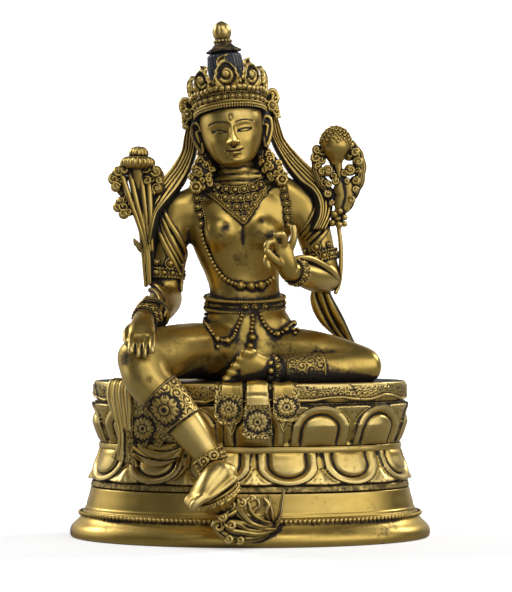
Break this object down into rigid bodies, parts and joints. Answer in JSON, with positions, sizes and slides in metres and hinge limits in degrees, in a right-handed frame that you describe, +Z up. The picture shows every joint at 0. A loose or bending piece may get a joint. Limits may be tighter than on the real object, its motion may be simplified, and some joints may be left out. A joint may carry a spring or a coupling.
{
  "type": "tara figure",
  "caption": "Gilt bronze goddess seated at ease on an oval double-lotus pedestal, one foot lowered to a small lotus rest, with a lotus at each shoulder.",
  "frame": {"origin": "middle of the pedestal's underside", "axes": "+Z up, the figure faces -Y, and +X is towards her left hand"},
  "size_m": [0.175, 0.1403, 0.2497],
  "materials": {
    "figure_gilt": "fire-gilt bronze, polished on the raised forms, with dark brown patina in the recesses and dark blue pigment left in the hair",
    "pedestal_gilt": "fire-gilt bronze, rubbed through to brown bronze along the foot, with dark brown patina between the petals"
  },
  "bodies": {
    "root": {"tara_figure": "figure_gilt", "lotus_pedestal": "pedestal_gilt"}
  },
  "joints": []
}
